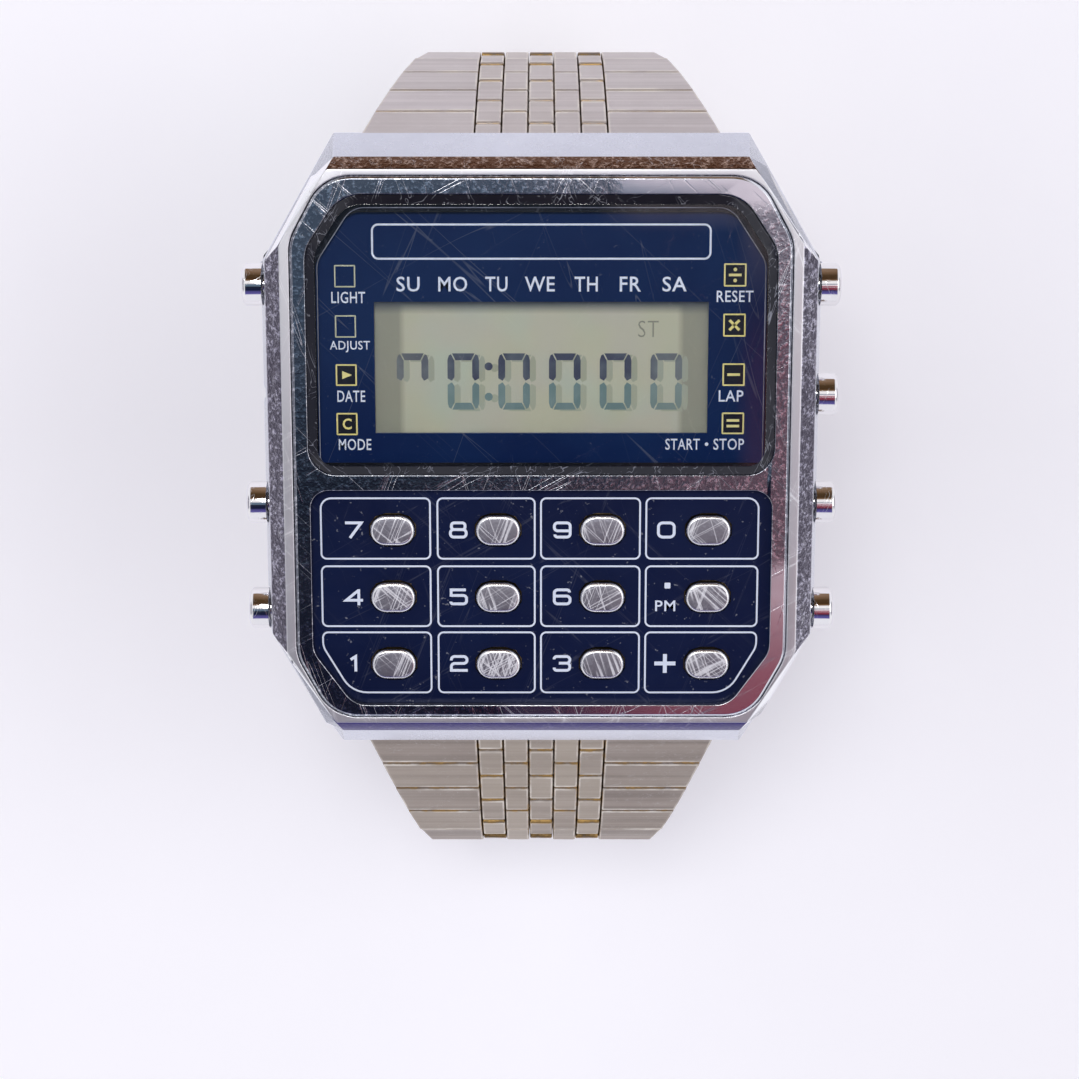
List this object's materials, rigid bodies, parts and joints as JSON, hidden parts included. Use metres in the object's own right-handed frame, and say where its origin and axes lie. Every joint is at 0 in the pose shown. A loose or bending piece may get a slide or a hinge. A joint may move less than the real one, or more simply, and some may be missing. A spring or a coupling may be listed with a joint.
{
  "type": "calculator watch",
  "caption": "Digital wristwatch with a keypad under its display, side pushers, a steel link bracelet and a folding clasp.",
  "frame": {"origin": "middle of the footprint, on the table under the closed clasp", "axes": "+Z out of the dial, +Y towards 12 o'clock, +X towards the right-hand pushers"},
  "size_m": [0.04, 0.0616, 0.0412],
  "materials": {
    "case_steel": "brushed flanks with bright corner facets",
    "mirror_steel": "mirror polished, finely scratched",
    "crystal": "clear mineral glass",
    "seal_rubber": "matt",
    "dial_paint": "satin dark blue-black print",
    "display": "grey-green display",
    "strip_rubber": "matt",
    "panel_paint": "glossy black print",
    "mat_rubber": "matt",
    "frame_plastic": "moulded",
    "board_green": "circuit board",
    "chip_plastic": "moulded",
    "cell_steel": "bright",
    "strap_brass": "bright",
    "back_steel": "fine brushed",
    "screw_steel": "bright",
    "pin_steel": "ground",
    "key_steel": "polished, scratched",
    "pusher_steel": "polished, scratched",
    "band_steel": "lengthwise brushed",
    "blade_steel": "fine brushed",
    "cover_steel": "fine brushed"
  },
  "bodies": {
    "case": {"case_body": "case_steel", "mirror_plate": "mirror_steel", "crystal": "crystal", "crystal_gasket": "seal_rubber", "dial_plate": "dial_paint", "display_glass": "display", "contact_strips": "strip_rubber", "keypad_panel": "panel_paint", "key_mat": "mat_rubber", "module_frame": "frame_plastic", "circuit_board": "board_green", "board_components": "chip_plastic", "button_cells": "cell_steel", "cell_strap": "strap_brass", "case_back": "back_steel", "back_seal": "seal_rubber", "back_screws": "screw_steel", "lug_bars": "pin_steel"},
    "key_7": {"key_7": "key_steel"},
    "key_8": {"key_8": "key_steel"},
    "key_9": {"key_9": "key_steel"},
    "key_0": {"key_0": "key_steel"},
    "key_4": {"key_4": "key_steel"},
    "key_5": {"key_5": "key_steel"},
    "key_6": {"key_6": "key_steel"},
    "key_point": {"key_point": "key_steel"},
    "key_1": {"key_1": "key_steel"},
    "key_2": {"key_2": "key_steel"},
    "key_3": {"key_3": "key_steel"},
    "key_plus": {"key_plus": "key_steel"},
    "pusher_light": {"pusher_light": "pusher_steel"},
    "pusher_adjust": {"pusher_adjust": "pusher_steel"},
    "pusher_date": {"pusher_date": "pusher_steel"},
    "pusher_mode": {"pusher_mode": "pusher_steel"},
    "pusher_divide": {"pusher_divide": "pusher_steel"},
    "pusher_times": {"pusher_times": "pusher_steel"},
    "pusher_minus": {"pusher_minus": "pusher_steel"},
    "pusher_equals": {"pusher_equals": "pusher_steel"},
    "upper_row_1": {"upper_row_1": "band_steel"},
    "upper_row_2": {"upper_row_2": "band_steel"},
    "upper_row_3": {"upper_row_3": "band_steel"},
    "upper_row_4": {"upper_row_4": "band_steel"},
    "upper_row_5": {"upper_row_5": "band_steel"},
    "upper_row_6": {"upper_row_6": "band_steel"},
    "upper_row_7": {"upper_row_7": "band_steel"},
    "upper_row_8": {"upper_row_8": "band_steel"},
    "upper_row_9": {"upper_row_9": "band_steel"},
    "lower_row_1": {"lower_row_1": "band_steel"},
    "lower_row_2": {"lower_row_2": "band_steel"},
    "lower_row_3": {"lower_row_3": "band_steel"},
    "lower_row_4": {"lower_row_4": "band_steel"},
    "lower_row_5": {"lower_row_5": "band_steel"},
    "lower_row_6": {"lower_row_6": "band_steel"},
    "lower_row_7": {"lower_row_7": "band_steel"},
    "lower_row_8": {"lower_row_8": "band_steel"},
    "lower_row_9": {"lower_row_9": "band_steel"},
    "lower_row_10": {"lower_row_10": "band_steel"},
    "clasp_inner_blade": {"clasp_inner_blade": "blade_steel"},
    "clasp_outer_blade": {"clasp_outer_blade": "blade_steel"},
    "clasp_cover": {"clasp_cover": "cover_steel"}
  },
  "joints": [
    {"name": "key_7_press", "type": "slide", "parent": "case", "child": "key_7", "axis": [0, 0, -1], "range_m": [0, 0.0004], "stiffness_N_per_m": 500, "springref_m": -0.0006},
    {"name": "key_8_press", "type": "slide", "parent": "case", "child": "key_8", "axis": [0, 0, -1], "range_m": [0, 0.0004], "stiffness_N_per_m": 500, "springref_m": -0.0006},
    {"name": "key_9_press", "type": "slide", "parent": "case", "child": "key_9", "axis": [0, 0, -1], "range_m": [0, 0.0004], "stiffness_N_per_m": 500, "springref_m": -0.0006},
    {"name": "key_0_press", "type": "slide", "parent": "case", "child": "key_0", "axis": [0, 0, -1], "range_m": [0, 0.0004], "stiffness_N_per_m": 500, "springref_m": -0.0006},
    {"name": "key_4_press", "type": "slide", "parent": "case", "child": "key_4", "axis": [0, 0, -1], "range_m": [0, 0.0004], "stiffness_N_per_m": 500, "springref_m": -0.0006},
    {"name": "key_5_press", "type": "slide", "parent": "case", "child": "key_5", "axis": [0, 0, -1], "range_m": [0, 0.0004], "stiffness_N_per_m": 500, "springref_m": -0.0006},
    {"name": "key_6_press", "type": "slide", "parent": "case", "child": "key_6", "axis": [0, 0, -1], "range_m": [0, 0.0004], "stiffness_N_per_m": 500, "springref_m": -0.0006},
    {"name": "key_point_press", "type": "slide", "parent": "case", "child": "key_point", "axis": [0, 0, -1], "range_m": [0, 0.0004], "stiffness_N_per_m": 500, "springref_m": -0.0006},
    {"name": "key_1_press", "type": "slide", "parent": "case", "child": "key_1", "axis": [0, 0, -1], "range_m": [0, 0.0004], "stiffness_N_per_m": 500, "springref_m": -0.0006},
    {"name": "key_2_press", "type": "slide", "parent": "case", "child": "key_2", "axis": [0, 0, -1], "range_m": [0, 0.0004], "stiffness_N_per_m": 500, "springref_m": -0.0006},
    {"name": "key_3_press", "type": "slide", "parent": "case", "child": "key_3", "axis": [0, 0, -1], "range_m": [0, 0.0004], "stiffness_N_per_m": 500, "springref_m": -0.0006},
    {"name": "key_plus_press", "type": "slide", "parent": "case", "child": "key_plus", "axis": [0, 0, -1], "range_m": [0, 0.0004], "stiffness_N_per_m": 500, "springref_m": -0.0006},
    {"name": "pusher_light_press", "type": "slide", "parent": "case", "child": "pusher_light", "axis": [1, 0, 0], "range_m": [0, 0.0007], "stiffness_N_per_m": 900, "springref_m": -0.0008},
    {"name": "pusher_adjust_press", "type": "slide", "parent": "case", "child": "pusher_adjust", "axis": [1, 0, 0], "range_m": [0, 0.0005], "stiffness_N_per_m": 900, "springref_m": -0.0008},
    {"name": "pusher_date_press", "type": "slide", "parent": "case", "child": "pusher_date", "axis": [1, 0, 0], "range_m": [0, 0.0007], "stiffness_N_per_m": 900, "springref_m": -0.0008},
    {"name": "pusher_mode_press", "type": "slide", "parent": "case", "child": "pusher_mode", "axis": [1, 0, 0], "range_m": [0, 0.0007], "stiffness_N_per_m": 900, "springref_m": -0.0008},
    {"name": "pusher_divide_press", "type": "slide", "parent": "case", "child": "pusher_divide", "axis": [-1, 0, 0], "range_m": [0, 0.0007], "stiffness_N_per_m": 900, "springref_m": -0.0008},
    {"name": "pusher_times_press", "type": "slide", "parent": "case", "child": "pusher_times", "axis": [-1, 0, 0], "range_m": [0, 0.0007], "stiffness_N_per_m": 900, "springref_m": -0.0008},
    {"name": "pusher_minus_press", "type": "slide", "parent": "case", "child": "pusher_minus", "axis": [-1, 0, 0], "range_m": [0, 0.0007], "stiffness_N_per_m": 900, "springref_m": -0.0008},
    {"name": "pusher_equals_press", "type": "slide", "parent": "case", "child": "pusher_equals", "axis": [-1, 0, 0], "range_m": [0, 0.0007], "stiffness_N_per_m": 900, "springref_m": -0.0008},
    {"name": "upper_row_1_hinge", "type": "hinge", "parent": "case", "child": "upper_row_1", "pos_m": [0, 0.02343, 0.0367], "axis": [1, 0, 0], "range_deg": [0, 27]},
    {"name": "upper_row_2_hinge", "type": "hinge", "parent": "upper_row_1", "child": "upper_row_2", "pos_m": [0, 0.02504, 0.03272], "axis": [1, 0, 0], "range_deg": [0, 7]},
    {"name": "upper_row_3_hinge", "type": "hinge", "parent": "upper_row_2", "child": "upper_row_3", "pos_m": [0, 0.02651, 0.02868], "axis": [1, 0, 0], "range_deg": [0, 7]},
    {"name": "upper_row_4_hinge", "type": "hinge", "parent": "upper_row_3", "child": "upper_row_4", "pos_m": [0, 0.02784, 0.02459], "axis": [1, 0, 0], "range_deg": [0, 8]},
    {"name": "upper_row_5_hinge", "type": "hinge", "parent": "upper_row_4", "child": "upper_row_5", "pos_m": [0, 0.02895, 0.02043], "axis": [1, 0, 0], "range_deg": [0, 12]},
    {"name": "upper_row_6_hinge", "type": "hinge", "parent": "upper_row_5", "child": "upper_row_6", "pos_m": [0, 0.02955, 0.01618], "axis": [1, 0, 0], "range_deg": [0, 19]},
    {"name": "upper_row_7_hinge", "type": "hinge", "parent": "upper_row_6", "child": "upper_row_7", "pos_m": [0, 0.0291, 0.0119], "axis": [1, 0, 0], "range_deg": [0, 23]},
    {"name": "upper_row_8_hinge", "type": "hinge", "parent": "upper_row_7", "child": "upper_row_8", "pos_m": [0, 0.02735, 0.00797], "axis": [1, 0, 0], "range_deg": [0, 25]},
    {"name": "upper_row_9_hinge", "type": "hinge", "parent": "upper_row_8", "child": "upper_row_9", "pos_m": [0, 0.02436, 0.00488], "axis": [1, 0, 0], "range_deg": [0, 25]},
    {"name": "lower_row_1_hinge", "type": "hinge", "parent": "case", "child": "lower_row_1", "pos_m": [0, -0.01497, 0.0367], "axis": [-1, 0, 0], "range_deg": [0, 7]},
    {"name": "lower_row_2_hinge", "type": "hinge", "parent": "lower_row_1", "child": "lower_row_2", "pos_m": [0, -0.01785, 0.03351], "axis": [-1, 0, 0], "range_deg": [0, 5.5]},
    {"name": "lower_row_3_hinge", "type": "hinge", "parent": "lower_row_2", "child": "lower_row_3", "pos_m": [0, -0.0207, 0.03029], "axis": [-1, 0, 0], "range_deg": [0, 6]},
    {"name": "lower_row_4_hinge", "type": "hinge", "parent": "lower_row_3", "child": "lower_row_4", "pos_m": [0, -0.02349, 0.02702], "axis": [-1, 0, 0], "range_deg": [0, 7.5]},
    {"name": "lower_row_5_hinge", "type": "hinge", "parent": "lower_row_4", "child": "lower_row_5", "pos_m": [0, -0.02614, 0.02363], "axis": [-1, 0, 0], "range_deg": [0, 13]},
    {"name": "lower_row_6_hinge", "type": "hinge", "parent": "lower_row_5", "child": "lower_row_6", "pos_m": [0, -0.02829, 0.01991], "axis": [-1, 0, 0], "range_deg": [0, 19]},
    {"name": "lower_row_7_hinge", "type": "hinge", "parent": "lower_row_6", "child": "lower_row_7", "pos_m": [0, -0.02947, 0.01577], "axis": [-1, 0, 0], "range_deg": [0, 23]},
    {"name": "lower_row_8_hinge", "type": "hinge", "parent": "lower_row_7", "child": "lower_row_8", "pos_m": [0, -0.02932, 0.01148], "axis": [-1, 0, 0], "range_deg": [0, 29]},
    {"name": "lower_row_9_hinge", "type": "hinge", "parent": "lower_row_8", "child": "lower_row_9", "pos_m": [0, -0.02744, 0.00761], "axis": [-1, 0, 0], "range_deg": [0, 27]},
    {"name": "lower_row_10_hinge", "type": "hinge", "parent": "lower_row_9", "child": "lower_row_10", "pos_m": [0, -0.02424, 0.00473], "axis": [-1, 0, 0], "range_deg": [0, 27]},
    {"name": "blade_bar_hinge", "type": "hinge", "parent": "lower_row_10", "child": "clasp_inner_blade", "pos_m": [0, -0.01818, 0.00253], "axis": [-1, 0, 0], "range_deg": [0, 40]},
    {"name": "blade_fold_hinge", "type": "hinge", "parent": "clasp_inner_blade", "child": "clasp_outer_blade", "pos_m": [0, 0.01597, 0.00215], "axis": [1, 0, 0], "range_deg": [0, 170]},
    {"name": "cover_hinge", "type": "hinge", "parent": "clasp_outer_blade", "child": "clasp_cover", "pos_m": [0, -0.01538, 0.00155], "axis": [-1, 0, 0], "range_deg": [0, 150]}
  ],
  "couplings": [
    {"joint": "blade_fold_hinge", "follows": "cover_hinge", "ratio": 1.1333},
    {"joint": "upper_row_1_hinge", "follows": "cover_hinge", "ratio": 0.18}
  ]
}
